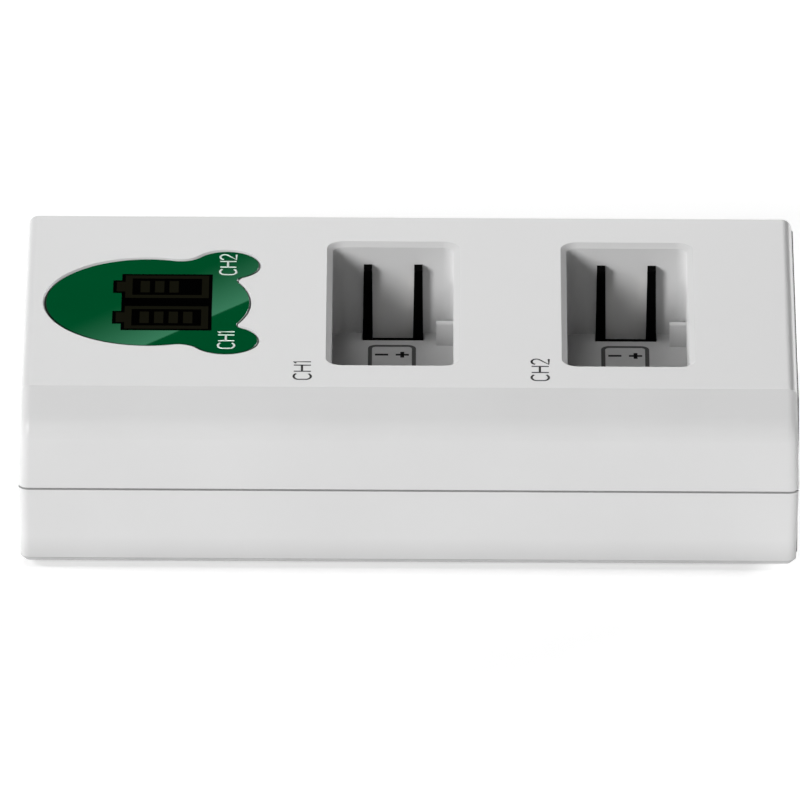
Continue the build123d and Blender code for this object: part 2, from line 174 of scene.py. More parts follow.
# %% Shader group: moulded surface
def make_moulded_surface():
    inputs = (("Grain Scale", "Float", 5000.0), ("Mottle Scale", "Float", 70.0), ("Roughness", "Float", 0.4),
              ("Variation", "Float", 0.05))
    outputs = (("Height", "Float"), ("Mottle", "Float"), ("Roughness", "Float"))
    group, enter, leave = new_tree("moulded_surface", "ShaderNodeTree", inputs, outputs)
    place = node_at(group, "ShaderNodeTexCoord").outputs["Object"]
    grain = node_at(group, "ShaderNodeTexNoise", ("Vector", place), ("Scale", enter.outputs["Grain Scale"]),
                    ("Detail", 2.0), ("Roughness", 0.5))
    slow = node_at(group, "ShaderNodeTexNoise", ("Vector", place), ("Scale", enter.outputs["Mottle Scale"]),
                   ("Detail", 3.0), ("Roughness", 0.45))
    mottle = ramp_at(group, slow.outputs[0], 0.3, 0.7)
    centred = math_at(group, "SUBTRACT", mottle, 0.5)
    rough = math_at(group, "MULTIPLY_ADD", centred, enter.outputs["Variation"], enter.outputs["Roughness"])
    group.links.new(grain.outputs[0], leave.inputs["Height"])
    group.links.new(mottle, leave.inputs["Mottle"])
    group.links.new(rough, leave.inputs["Roughness"])
    lay_out(group)
    return group


moulded_surface = make_moulded_surface()
print("group:", moulded_surface.name, "nodes:", len(moulded_surface.nodes))

# %% [markdown]
# Shade is painted into the case's colour along level lines where shade falls: in the gap between its shells
# and along the edge that stands over the table. This group puts out a mask for one such line of painted
# shade. It is full within the half width, fades out beyond, and thins a little here and there.

# %% Shader group: painted shade along a level line
patch_size = 6 * MM
thinnest_painted_shade = 0.88


def make_painted_line_shade():
    inputs = (("Line Height", "Float", 0.0), ("Half Width", "Float", 0.1 * MM), ("Fade", "Float", 0.1 * MM))
    group, enter, leave = new_tree("painted_line_shade", "ShaderNodeTree", inputs, (("Mask", "Float"),))
    place = node_at(group, "ShaderNodeTexCoord").outputs["Object"]
    level = node_at(group, "ShaderNodeSeparateXYZ", (0, place)).outputs["Z"]
    above = math_at(group, "SUBTRACT", level, enter.outputs["Line Height"])
    away = math_at(group, "ABSOLUTE", above)
    limit = math_at(group, "ADD", enter.outputs["Half Width"], enter.outputs["Fade"])
    fade = ramp_at(group, away, enter.outputs["Half Width"], limit, 1.0, 0.0)
    patches = node_at(group, "ShaderNodeTexNoise", ("Vector", place), ("Scale", 1 / patch_size),
                      ("Detail", 2.0))
    thick = ramp_at(group, patches.outputs[0], 0.3, 0.7, thinnest_painted_shade, 1.0)
    group.links.new(math_at(group, "MULTIPLY", fade, thick), leave.inputs["Mask"])
    lay_out(group)
    return group


painted_line_shade = make_painted_line_shade()
print("group:", painted_line_shade.name, "nodes:", len(painted_line_shade.nodes))

# %% [markdown]
# Most finishes are the same recipe with other values: two close tones that the mottle mixes, the group's
# roughness, and a bump whose depth is stated in metres. `finish` writes that recipe and gives back the
# material, so that a finish with something of its own, such as brushing or a cut rim, can add it.

# %% The common finish recipe
def finish(name, tone, other_tone, roughness, grain_size, grain_depth, variation=0.05, mottle_size=15 * MM,
           **shader_values):
    """A material of the common recipe. Further values are for shader sockets, such as metallic=1.0."""
    material = bpy.data.materials.new(name)
    material.use_nodes = True
    tree = material.node_tree
    shader = tree.nodes["Principled BSDF"]
    surface = node_at(tree, "ShaderNodeGroup", ("Grain Scale", 1 / grain_size),
                      ("Mottle Scale", 1 / mottle_size), ("Roughness", roughness), ("Variation", variation),
                      node_tree=moulded_surface)
    bump = node_at(tree, "ShaderNodeBump", ("Strength", 1.0), ("Distance", grain_depth),
                   ("Height", surface.outputs["Height"]))
    tree.links.new(mix_at(tree, surface.outputs["Mottle"], tone, other_tone), shader.inputs["Base Color"])
    tree.links.new(surface.outputs["Roughness"], shader.inputs["Roughness"])
    tree.links.new(bump.outputs[0], shader.inputs["Normal"])
    for socket, value in shader_values.items():
        shader.inputs[socket.replace("_", " ").title().replace("Ior", "IOR")].default_value = value
    lay_out(tree)
    return material


def shader_of(material):
    return material.node_tree.nodes["Principled BSDF"]


def bump_of(material):
    """The Bump node, for a finish whose relief is something other than the grain."""
    return next(node for node in material.node_tree.nodes if node.bl_idname == "ShaderNodeBump")


print("finish recipe ready")

# %% [markdown]
# Both shells are one white plastic. A full diffuse roughness keeps its shading flat, as on a fine matt mould
# finish, and the grain breaks up its gloss. The lower shell has a copy of its own, because only there is
# shade painted into its colour: in the seam gap under the upper shell, on the bevel of the base edge, and as
# a faint darkening above it. The upper shell has none, since the seam's level also crosses the walls of its
# bays, where it would darken them too.

# %% White shells
painted_shade_grey = (0.03, 0.03, 0.03)
base_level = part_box("lower_shell")[0].z
upper_shell_level = base_level + 9.9 * MM
seam_gap = 0.25 * MM
seam_overlap = 0.01 * MM
base_bevel = 0.6 * MM


def paint_shade_line(material, line_height, half_width, fade, amount):
    """Paint shade into a finish's colour along one level line. Called again, it adds the next line."""
    tree = material.node_tree
    colour = shader_of(material).inputs["Base Color"]
    line = node_at(tree, "ShaderNodeGroup", ("Line Height", line_height), ("Half Width", half_width),
                   ("Fade", fade), node_tree=painted_line_shade)
    share = math_at(tree, "MULTIPLY", line.outputs["Mask"], amount)
    tree.links.new(mix_at(tree, share, colour.links[0].from_socket, painted_shade_grey), colour)
    lay_out(tree)


def white_plastic(name):
    return finish(name, (0.655,) * 3, (0.67,) * 3, 0.42, 0.22 * MM, 0.0012 * MM, diffuse_roughness=1.0)


shell_white = white_plastic("shell_white")
tray_white = white_plastic("tray_white")
# painted shade: the seam gap, the bevel of the base edge, and a faint band above the base
paint_shade_line(tray_white, upper_shell_level - seam_gap / 2, seam_gap / 2 + seam_overlap, 0.02 * MM, 0.45)
paint_shade_line(tray_white, base_level + base_bevel / 2, base_bevel / 2, 0.1 * MM, 0.45)
paint_shade_line(tray_white, base_level, base_bevel, 2.8 * MM, 0.15)
print("shell finishes:", shell_white.name, tray_white.name)

# %% [markdown]
# The socket panel is a matt black moulding. The contact carriers are black plastic, and their finish is
# darker still, with almost no gloss: painted shade for the deep shade they stand in, which makes them look
# black from every side. The light box and the small ceramic pieces on the board are off-white, and the chips
# are dark grey.

# %% Black and pale plastics
panel_black = finish("panel_black", (0.006,) * 3, (0.008,) * 3, 0.55, 0.18 * MM, 0.0015 * MM,
                     specular_ior_level=0.12)
# black plastic, with its tone and gloss lowered further as painted shade
carrier_black = finish("carrier_black", (0.0006,) * 3, (0.001,) * 3, 0.8, 0.2 * MM, 0.002 * MM,
                       specular_ior_level=0.02)
light_white = finish("light_white", (0.72, 0.72, 0.70), (0.76, 0.76, 0.74), 0.35, 0.2 * MM, 0.001 * MM)
chip_black = finish("chip_black", (0.012, 0.012, 0.013), (0.02, 0.02, 0.021), 0.55, 0.06 * MM, 0.002 * MM)
print("plain finishes:", panel_black.name, carrier_black.name, light_white.name, chip_black.name)

# %% [markdown]
# The display window is a lens of clear green plastic over a dark backing, polished and flush with the top.
# Its colour comes from the base tone, and its gloss from a roughness near zero, so it mirrors what hangs
# behind the body. A faint drift between two greens keeps it from looking printed. The bevel round its rim is
# cut rather than polished, so wherever the surface tips off the level it is rougher. Its colour is also
# darkened there towards a near-black green, as painted shade along the window's edge.

# %% Green display lens
polished = 0.012
cut = 0.35
rim_shade_green = (0.0, 0.012, 0.005)
level_face = 0.98
tipped_face = 0.85
lens_green = finish("lens_green", (0.0, 0.100, 0.0285), (0.0, 0.107, 0.0305), polished, 3.0 * MM,
                    0.00005 * MM, mottle_size=9 * MM)
lens_tree = lens_green.node_tree
lens_roughness = shader_of(lens_green).inputs["Roughness"]
lens_colour = shader_of(lens_green).inputs["Base Color"]
facing = node_at(lens_tree, "ShaderNodeTexCoord").outputs["Normal"]
facing_up = node_at(lens_tree, "ShaderNodeSeparateXYZ", (0, facing)).outputs["Z"]
rim = ramp_at(lens_tree, facing_up, level_face, tipped_face)
lens_tree.links.new(ramp_at(lens_tree, rim, 0.0, 1.0, polished, cut), lens_roughness)
# painted shade: the bevel's colour is darkened towards the near-black rim green
lens_tree.links.new(mix_at(lens_tree, rim, lens_colour.links[0].from_socket, rim_shade_green), lens_colour)
lay_out(lens_tree)
display_dark = finish("display_dark", (0.004, 0.004, 0.003), (0.006, 0.006, 0.004), 0.1, 0.5 * MM,
                      0.0002 * MM)
print("display finishes:", lens_green.name, display_dark.name)

# %% [markdown]
# Metal shows its making. The socket shells are drawn from bright strip and carry fine lines along the draw,
# so their grain is stretched along X with a Mapping node. Screws are zinc plated and a little cloudy, the
# capacitor cans are aluminium, and the battery contacts are nickel.

# %% Metals
line_spacing = 0.12 * MM


def brush(material, stretch):
    """Give a finish long fine lines along X: its bump reads noise that is squeezed across them."""
    tree = material.node_tree
    place = node_at(tree, "ShaderNodeTexCoord").outputs["Object"]
    along = node_at(tree, "ShaderNodeMapping", ("Vector", place), ("Scale", (1.0 / stretch, 1.0, 1.0)))
    lines = node_at(tree, "ShaderNodeTexNoise", ("Vector", along.outputs[0]), ("Scale", 1 / line_spacing),
                    ("Detail", 2.0))
    tree.links.new(lines.outputs[0], bump_of(material).inputs["Height"])
    lay_out(tree)


socket_steel = finish("socket_steel", (0.50, 0.50, 0.49), (0.56, 0.56, 0.55), 0.28, 0.1 * MM, 0.002 * MM,
                      metallic=1.0)
brush(socket_steel, 25)
screw_steel = finish("screw_steel", (0.46, 0.46, 0.45), (0.60, 0.60, 0.58), 0.33, 0.3 * MM, 0.004 * MM,
                     variation=0.15, mottle_size=1.5 * MM, metallic=1.0)
contact_metal = finish("contact_metal", (0.60, 0.56, 0.48), (0.68, 0.63, 0.54), 0.24, 0.15 * MM, 0.001 * MM,
                       metallic=1.0)
contact_gold = finish("contact_gold", (0.72, 0.46, 0.16), (0.80, 0.54, 0.22), 0.22, 0.1 * MM, 0.0008 * MM,
                      metallic=1.0)
can_aluminium = finish("can_aluminium", (0.58, 0.58, 0.58), (0.66, 0.66, 0.66), 0.3, 0.1 * MM, 0.002 * MM,
                       metallic=1.0)
metals = (socket_steel, screw_steel, contact_metal, contact_gold, can_aluminium)
print("metals:", ", ".join(metal.name for metal in metals))

# %% [markdown]
# Rubber feet are matt, and their underside has a fine pebble from the mould, made with Voronoi cells. The
# circuit board is green solder mask over copper, and its tracks show as slightly raised paler lanes: a brick
# pattern with its mortar as the track gives straight runs with regular steps.

# %% Rubber and circuit board
pebble_size = 0.45 * MM
track_pitch = 6 * MM

foot_rubber = finish("foot_rubber", (0.020, 0.020, 0.020), (0.030, 0.030, 0.030), 0.75, 0.3 * MM, 0.01 * MM)
rubber_tree = foot_rubber.node_tree
rubber_place = node_at(rubber_tree, "ShaderNodeTexCoord").outputs["Object"]
pebbles = node_at(rubber_tree, "ShaderNodeTexVoronoi", ("Vector", rubber_place), ("Scale", 1 / pebble_size))
rubber_tree.links.new(pebbles.outputs["Distance"], bump_of(foot_rubber).inputs["Height"])
lay_out(rubber_tree)

board_green = finish("board_green", (0.010, 0.075, 0.030), (0.014, 0.095, 0.040), 0.25, 0.2 * MM, 0.004 * MM)
board_tree = board_green.node_tree
board_place = node_at(board_tree, "ShaderNodeTexCoord").outputs["Object"]
tracks = node_at(board_tree, "ShaderNodeTexBrick", ("Vector", board_place), ("Scale", 1 / track_pitch),
                 ("Mortar Size", 0.06), ("Color1", (0.010, 0.075, 0.030, 1)),
                 ("Color2", (0.013, 0.088, 0.036, 1)), ("Mortar", (0.03, 0.16, 0.07, 1)))
board_tree.links.new(tracks.outputs["Color"], shader_of(board_green).inputs["Base Color"])
board_tree.links.new(tracks.outputs["Fac"], bump_of(board_green).inputs["Height"])
lay_out(board_tree)
print("finishes with a pattern:", foot_rubber.name, board_green.name)

# %% [markdown]
# Every solid gets its finish by name. The solids keep their meshes: only their material slots change. The
# table reads the start of each name, so the four feet or the two carriers need one line.

# %% Dress the solids
finish_of = {
    "upper_shell": shell_white,
    "lower_shell": tray_white,
    "display_window": lens_green,
    "display_glass": display_dark,
    "display_light_box": light_white,
    "display_pins": contact_metal,
    "backlight_lamps": light_white,
    "end_panel": panel_black,
    "circuit_board": board_green,
    "usb_c_shell": socket_steel,
    "usb_c_tongue": chip_black,
    "micro_usb_shell": socket_steel,
    "micro_usb_tongue": chip_black,
    "controller_chip": chip_black,
    "charge_chip": chip_black,
    "chip_capacitors": light_white,
    "contact_carrier": carrier_black,
    "contact_strip": contact_metal,
    "power_inductor": chip_black,
    "filter_capacitor": can_aluminium,
    "case_screw": screw_steel,
    "board_screw": screw_steel,
    "rubber_foot": foot_rubber,
}
for name, solid in nodes.items():
    material = next(m for start, m in finish_of.items() if name.startswith(start))
    solid.data.materials.clear()
    solid.data.materials.append(material)
print("dressed:", len(nodes), "solids with", len(set(finish_of.values())), "finishes")

# %% [markdown]
# Printed marks are thin films of ink. They are laid on the solid that carries them, a few hundredths of a
# millimetre thick, so that light falls on them as on the real print. Letters and signs here are strokes of
# one width, which is a rule that Geometry Nodes can follow: each stroke is drawn as a curve, and a node tree
# sweeps a flat bar along it. The tree's inputs are the stroke's width, the film's thickness and the ink.

# %% Node tree: ink along a stroke
def make_ink_tree():
    inputs = (("Geometry", "Geometry"), ("Width", "Float"), ("Thickness", "Float"), ("Ink", "Material"))
    tree, enter, leave = new_tree("ink_strokes", "GeometryNodeTree", inputs, (("Geometry", "Geometry"),))
    bar = node_at(tree, "GeometryNodeCurvePrimitiveQuadrilateral", ("Width", enter.outputs["Width"]),
                  ("Height", enter.outputs["Thickness"]))
    level = node_at(tree, "GeometryNodeSetCurveNormal", (0, enter.outputs["Geometry"]), mode="Z_UP")
    sweep = node_at(tree, "GeometryNodeCurveToMesh", ("Curve", level.outputs[0]),
                    ("Profile Curve", bar.outputs[0]), ("Fill Caps", True))
    real = node_at(tree, "GeometryNodeRealizeInstances", (0, sweep.outputs[0]))
    inked = node_at(tree, "GeometryNodeSetMaterial", ("Geometry", real.outputs[0]),
                    ("Material", enter.outputs["Ink"]))
    tree.links.new(inked.outputs[0], leave.inputs[0])
    lay_out(tree)
    return tree


def grown_mesh(source, tree, values, name):
    """Run a node tree on an object with named inputs, and give back the result as a plain mesh."""
    modifier = source.modifiers.new("nodes", "NODES")
    modifier.node_group = tree
    for item in tree.interface.items_tree:
        if item.in_out == "INPUT" and item.name in values:
            modifier[item.identifier] = values[item.name]
    bpy.context.view_layer.update()
    depsgraph = bpy.context.evaluated_depsgraph_get()
    mesh = bpy.data.meshes.new_from_object(source.evaluated_get(depsgraph), depsgraph=depsgraph)
    mesh.name = name
    source.modifiers.remove(modifier)
    bpy.data.objects.remove(source)
    return mesh


ink_tree = make_ink_tree()
print("tree:", ink_tree.name, "nodes:", len(ink_tree.nodes))

# %% [markdown]
# The channel marks say which bay is which: C, H and a number, in a thin plain letter. Each letter is a few
# strokes in a box of its own width and one common height. C and 2 are built from arcs, so they stay round
# at any size. Sizes are those of the stroke's middle line, so the ink reaches half a stroke further.

# %% Letters as strokes
letter_height = 2.05 * MM
letter_widths = {"C": 1.69 * MM, "H": 1.71 * MM, "1": 0.38 * MM, "2": 1.49 * MM}
letter_gap = 0.57 * MM
stroke_width = 0.27 * MM
film = 0.03 * MM


def arc(centre, radii, start, end, steps=14):
    """Points on part of an ellipse, from one angle in degrees to another."""
    angles = [radians(start + (end - start) * step / steps) for step in range(steps + 1)]
    return [(centre[0] + radii[0] * cos(a), centre[1] + radii[1] * sin(a)) for a in angles]


def letter_strokes(sign, width, height):
    """The strokes of one sign in a box from (0, 0) to (width, height), along their middle lines."""
    middle = width / 2
    bend = 0.28 * height
    if sign == "C":
        top = arc((middle, height - bend), (middle, bend), 30, 180)
        return [top + arc((middle, bend), (middle, bend), 180, 330)]
    if sign == "H":
        bar = height * 0.52
        return [[(0, 0), (0, height)], [(width, 0), (width, height)], [(0, bar), (width, bar)]]
    if sign == "1":
        return [[(0, height * 0.86), (width, height), (width, 0)]]
    if sign == "2":
        top = arc((middle, height - bend), (middle, bend), 165, -35)
        return [top + [(0, 0), (width, 0)]]
    raise ValueError(sign)


print("letters:", "".join(letter_widths), "stroke width in mm:", round(stroke_width / MM, 2))

# %% [markdown]
# `strokes_mesh` sweeps the ink along any strokes, given as lists of (x, y) points. The curve is turned into
# a mesh first and moved afterwards, so the finished piece's object sits at the origin. The film's underside
# lies in the surface, and its top a hundredth of a millimetre above it. `mark` writes a word with it: the
# letters follow one another towards +Y, a quarter turn from the front edge, as the print on the body does.

# %% Write a mark on a level surface
def strokes_mesh(name, strokes, surface_z, width, ink):
    curve = bpy.data.curves.new(name + "_strokes", "CURVE")
    curve.dimensions = "3D"
    for stroke in strokes:
        spline = curve.splines.new("POLY")
        spline.points.add(len(stroke) - 1)
        for point, (x, y) in zip(spline.points, stroke):
            point.co = (x, y, 0, 1)
    source = bpy.data.objects.new(name + "_source", curve)
    bpy.context.scene.collection.objects.link(source)
    mesh = grown_mesh(source, ink_tree, {"Width": width, "Thickness": film, "Ink": ink}, name)
    mesh.transform(Matrix.Translation((0, 0, surface_z - 0.1 * film)))
    return mesh


def mark(name, word, corner, surface_z, ink, scale=1.0):
    """Write a word. corner is its start at the foot of its letters: x on the right, y at the front."""
    strokes = []
    cursor = 0.0
    for sign in word:
        width = letter_widths[sign] * scale
        for stroke in letter_strokes(sign, width, letter_height * scale):
            strokes.append([(corner[0] - y, corner[1] + cursor + x) for x, y in stroke])
        cursor += width + letter_gap * scale
    mesh = strokes_mesh(name, strokes, surface_z, stroke_width * scale, ink)
    print(name, word, "faces:", len(mesh.polygons), "length in mm:", round(cursor / MM, 2))
    return put(mesh, None)


print("marks ready, letter height:", round(letter_height / MM, 2), "mm")

# %% [markdown]
# Inks follow the common recipe too: black, grey and white printing ink with a soft sheen. The display adds
# two more, the black behind its gauges and the grey-olive of segments that are switched off. On the real
# charger they lie under the window. Its green is opaque here, so they are laid on it as films, and they have
# no gloss, because the gloss in front of them would be the window's.

# %% Inks
ink_black = finish("ink_black", (0.006,) * 3, (0.010,) * 3, 0.6, 0.1 * MM, 0.001 * MM,
                   specular_ior_level=0.2)
ink_grey = finish("ink_grey", (0.09,) * 3, (0.11,) * 3, 0.6, 0.1 * MM, 0.001 * MM, specular_ior_level=0.2)
ink_white = finish("ink_white", (0.76, 0.80, 0.77), (0.80, 0.84, 0.81), 0.45, 0.1 * MM, 0.001 * MM)
mask_black = finish("mask_black", (0.0004,) * 3, (0.0008,) * 3, 0.9, 0.3 * MM, 0.001 * MM,
                    specular_ior_level=0.0)
segment_olive = finish("segment_olive", (0.0085, 0.0085, 0.0045), (0.0095, 0.0090, 0.0055), 0.8, 0.3 * MM,
                       0.001 * MM, specular_ior_level=0.0)
print("inks:", ", ".join(ink.name for ink in (ink_black, ink_grey, ink_white, mask_black, segment_olive)))

# %% [markdown]
# Each bay has its mark at its front left corner, in black on the body, and once more in white on the lobe of
# the window that stands for it. Both pairs are the same word at two sizes, so two short loops write them.

# %% Channel marks on the body and the window
top_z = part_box("upper_shell")[1].z
lens_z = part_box("display_window")[1].z
body_mark_x = (-11.72 * MM, 16.65 * MM)
body_mark_y = -22.10 * MM
window_mark_corners = ((-20.94 * MM, -13.30 * MM), (-20.90 * MM, 7.68 * MM))
window_mark_scale = 0.95
for number, x in enumerate(body_mark_x, 1):
    mark(f"channel_mark_{number}", f"CH{number}", (x, body_mark_y), top_z, ink_black)
for number, corner in enumerate(window_mark_corners, 1):
    mark(f"window_mark_{number}", f"CH{number}", corner, lens_z, ink_white, window_mark_scale)

# %% [markdown]
# The display shows two battery gauges. Switched off, they are barely lighter than the black around them: a
# frame with a cap at its left end, and a row of bars. The black and the frames are flat sheets, cut as an
# outline with holes. A filled curve makes such a sheet in one step: its outer loop and its holes are closed
# splines of one 2D curve, and a small extrusion gives the film its thickness.

# %% Flat sheets from outlines
def sheet_mesh(name, loops, surface_z, thickness):
    """A thin flat piece bounded by closed loops of (x, y) points, the first outside and the rest holes."""
    curve = bpy.data.curves.new(name + "_outline", "CURVE")
    curve.dimensions = "2D"
    curve.fill_mode = "BOTH"
    curve.extrude = thickness / 2
    for loop in loops:
        spline = curve.splines.new("POLY")
        spline.points.add(len(loop) - 1)
        spline.use_cyclic_u = True
        for point, (x, y) in zip(spline.points, loop):
            point.co = (x, y, 0, 1)
    source = bpy.data.objects.new(name + "_source", curve)
    bpy.context.scene.collection.objects.link(source)
    depsgraph = bpy.context.evaluated_depsgraph_get()
    mesh = bpy.data.meshes.new_from_object(source.evaluated_get(depsgraph), depsgraph=depsgraph)
    mesh.name = name
    bpy.data.objects.remove(source)
    mesh.transform(Matrix.Translation((0, 0, surface_z + thickness / 2)))
    return mesh


def rectangle(x_range, y_range):
    (x0, x1), (y0, y1) = x_range, y_range
    return [(x0, y0), (x1, y0), (x1, y1), (x0, y1)]


print("sheets ready")

# %% [markdown]
# All gauge sizes hang on a few values: the frame's size and line, the cap, and how far the two gauges lie
# apart. The black surround is the frames' outline grown by a margin, with the same two caps. The frames lie
# on it as a second, thinner film.

# %% Battery gauges
window_low, window_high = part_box("display_window")
window_middle_y = (window_low.y + window_high.y) / 2
gauge_middle_x = window_low.x + 14.63 * MM
gauge_pitch = 8.73 * MM
gauge_length = 10.05 * MM
gauge_height = 6.38 * MM
gauge_line = 0.85 * MM
cap_length = 1.05 * MM
cap_height = 2.75 * MM
surround = 0.42 * MM
surround_film = 0.02 * MM
segment_film = 0.01 * MM
gauge_middles = [window_middle_y + side * gauge_pitch / 2 for side in (1, -1)]
left_x = gauge_middle_x - gauge_length / 2
right_x = gauge_middle_x + gauge_length / 2


def capped_outline(grow, middles):
    """The outline round one or both gauges, with a cap at the left of each, grown on all sides."""
    low = middles[-1] - gauge_height / 2 - grow
    high = middles[0] + gauge_height / 2 + grow
    points = [(right_x + grow, low), (right_x + grow, high), (left_x - grow, high)]
    for middle in middles:
        for x, y in ((0, 1), (-cap_length, 1), (-cap_length, -1), (0, -1)):
            points.append((left_x - grow + x, middle + y * (cap_height / 2 + grow)))
    return points + [(left_x - grow, low)]


put(sheet_mesh("gauge_surround", [capped_outline(surround, gauge_middles)], lens_z, surround_film),
    mask_black)
for number, middle in enumerate(gauge_middles, 1):
    inner = rectangle((left_x + gauge_line, right_x - gauge_line),
                      (middle - gauge_height / 2 + gauge_line, middle + gauge_height / 2 - gauge_line))
    gauge_frame = sheet_mesh(f"gauge_frame_{number}", [capped_outline(0.0, [middle]), inner],
                             lens_z + surround_film, segment_film)
    put(gauge_frame, segment_olive)
print("gauge frames:", len(gauge_middles))

# %% [markdown]
# The bars repeat at one pitch, so Geometry Nodes place them: a mesh line sets the points, a small slab is
# instanced on each, the instances are made real and the material is set last. The same tree makes the gold
# contacts in the sockets further down, with other values.

# %% Node tree: a row of slabs
def make_row_tree():
    inputs = (("Geometry", "Geometry"), ("Count", "Int"), ("First", "Vector"), ("Step", "Vector"),
              ("Size", "Vector"), ("Material", "Material"))
    tree, enter, leave = new_tree("slab_row", "GeometryNodeTree", inputs, (("Geometry", "Geometry"),))
    line = node_at(tree, "GeometryNodeMeshLine", ("Count", enter.outputs["Count"]),
                   ("Start Location", enter.outputs["First"]), ("Offset", enter.outputs["Step"]))
    slab = node_at(tree, "GeometryNodeMeshCube", ("Size", enter.outputs["Size"]))
    copies = node_at(tree, "GeometryNodeInstanceOnPoints", ("Points", line.outputs[0]),
                     ("Instance", slab.outputs[0]))
    real = node_at(tree, "GeometryNodeRealizeInstances", (0, copies.outputs[0]))
    dressed = node_at(tree, "GeometryNodeSetMaterial", ("Geometry", real.outputs[0]),
                      ("Material", enter.outputs["Material"]))
    tree.links.new(dressed.outputs[0], leave.inputs[0])
    lay_out(tree)
    return tree


row_tree = make_row_tree()


def slab_row(name, count, first, step, size, material):
    """A row of equal slabs. first is the middle of the first slab, and step goes to the next."""
    source = bpy.data.objects.new(name + "_source", bpy.data.meshes.new(name + "_seed"))
    bpy.context.scene.collection.objects.link(source)
    values = {"Count": count, "First": first, "Step": step, "Size": size, "Material": material}
    mesh = grown_mesh(source, row_tree, values, name)
    print(name, "slabs:", count, "faces:", len(mesh.polygons))
    return put(mesh, None)


print("tree:", row_tree.name, "nodes:", len(row_tree.nodes))

# %% [markdown]
# The far gauge has three bars and the near one four, from the same first place and at the same pitch. They
# are the same film as the frames and lie level with them.

# %% Gauge bars
bar_size = (1.12 * MM, 3.25 * MM, segment_film)
bar_pitch = 1.74 * MM
bar_counts = (3, 4)
first_bar_x = left_x + 2.38 * MM
bar_z = lens_z + surround_film + segment_film / 2
for number, (middle, count) in enumerate(zip(gauge_middles, bar_counts), 1):
    slab_row(f"gauge_bars_{number}", count, (first_bar_x, middle, bar_z), (bar_pitch, 0, 0), bar_size,
             segment_olive)

# %% [markdown]
# In each bay's floor a thin dark line frames the place where the battery's end sits, and two polarity signs
# stand in it, minus under the left contact rib and plus under the right one. The frame is a ring between
# two rounded rectangles. Only its far end shows past the front wall. The record's mounts say where the bay
# floors are, so frame and signs are placed from them.

# %% Frames and polarity signs on the bay floors
frame_width = 5.81 * MM
frame_length = 14.0 * MM
frame_line = 0.5 * MM
frame_corner = 1.0 * MM
frame_film = 0.02 * MM
frame_aside = -0.1 * MM
frame_far_end = 13.55 * MM
sign_from_far_end = 2.75 * MM
sign_spread = 1.25 * MM
sign_reach = 0.80 * MM
sign_width = 0.48 * MM


def rounded_rectangle(x_range, y_range, radius):
    (x0, x1), (y0, y1) = x_range, y_range
    corners = ((x1 - radius, y1 - radius, 0), (x0 + radius, y1 - radius, 90),
               (x0 + radius, y0 + radius, 180), (x1 - radius, y0 + radius, 270))
    points = []
    for x, y, start in corners:
        points += arc((x, y), (radius, radius), start, start + 90, 6)
    return points


def frame_edge(middle_x, far_y, inset):
    """One edge of the frame's line: the outer one at inset 0, and the inner one at the line's width."""
    half = frame_width / 2 - inset
    x_range = (middle_x - half, middle_x + half)
    y_range = (far_y - frame_length + inset, far_y - inset)
    return rounded_rectangle(x_range, y_range, frame_corner - inset)


def polarity_strokes(minus_x, plus_x, y):
    """A minus and a plus sign, each as wide as two reaches."""
    level_strokes = [[(x - sign_reach, y), (x + sign_reach, y)] for x in (minus_x, plus_x)]
    return level_strokes + [[(plus_x, y - sign_reach), (plus_x, y + sign_reach)]]


bay_floors = [Vector(m["pos_m"]) for m in frame["record"]["mounts"] if m["name"].startswith("bay_")]
for number, place in enumerate(bay_floors, 1):
    middle_x = place.x + frame_aside
    far_y = place.y + frame_far_end
    edges = [frame_edge(middle_x, far_y, inset) for inset in (0.0, frame_line)]
    put(sheet_mesh(f"bay_frame_{number}", edges, place.z, frame_film), ink_grey)
    strokes = polarity_strokes(middle_x - sign_spread, middle_x + sign_spread, far_y - sign_from_far_end)
    signs = strokes_mesh(f"polarity_signs_{number}", strokes, place.z, sign_width, ink_black)
    put(signs, None)
print("bay floors in mm:", [[round(v / MM, 2) for v in place] for place in bay_floors])

# %% [markdown]
# The sockets carry their contacts on the tongues: twelve gold pads above and below in the USB-C socket, and
# five under the tongue of the micro USB socket. They repeat at a fixed pitch, so the slab row lays them too,
# half sunk into the tongue and a little behind its tip.

# %% Gold contacts in the sockets
pad_share = 0.62
pad_setback = 0.3 * MM
pad_thickness = 0.04 * MM
usb_c_pads = (12, 0.5 * MM, 0.26 * MM)
micro_usb_pads = (5, 0.65 * MM, 0.38 * MM)


def contact_pads(name, tongue, on_top, count, pitch, width):
    """Pads across one face of a tongue. Their length is a share of the tongue's own."""
    low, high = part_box(tongue)
    length = pad_share * (high.x - low.x)
    first_y = (low.y + high.y) / 2 - (count - 1) / 2 * pitch
    first = (high.x - pad_setback - length / 2, first_y, high.z if on_top else low.z)
    size = (length, width, pad_thickness)
    slab_row(name, count, first, (0, pitch, 0), size, contact_gold)


contact_pads("usb_c_pads_top", "usb_c_tongue", True, *usb_c_pads)
contact_pads("usb_c_pads_bottom", "usb_c_tongue", False, *usb_c_pads)
contact_pads("micro_usb_pads", "micro_usb_tongue", False, *micro_usb_pads)

# %% [markdown]
# The body stands on a photographer's light table: white acrylic, partly lit from below. That keeps the
# background white and the shadow in front of the body faint. The table's glow is laid out round the body.
# Right under the body it is masked, so the underside stays in shade. Near the body the glow is weaker and
# grows outwards, which is painted shade round the body. At the right end more glow is painted in, a painted
# light over the shadow that falls there. All of it follows from how far a point of the table lies outside
# the body's outline, so one small node tree draws it.

# %% Light table
table_white = 0.74
floor_half = 3.0
mask_edge = (-4.0 * MM, -1.5 * MM)
shade_glow_distance = (5 * MM, 70 * MM)
shade_glow_levels = (0.43, 0.58)
painted_fill_start = 6 * MM
painted_fill_reach = (5 * MM, 45 * MM)
painted_fill_glow = 0.35
body_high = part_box("lower_shell")[1]


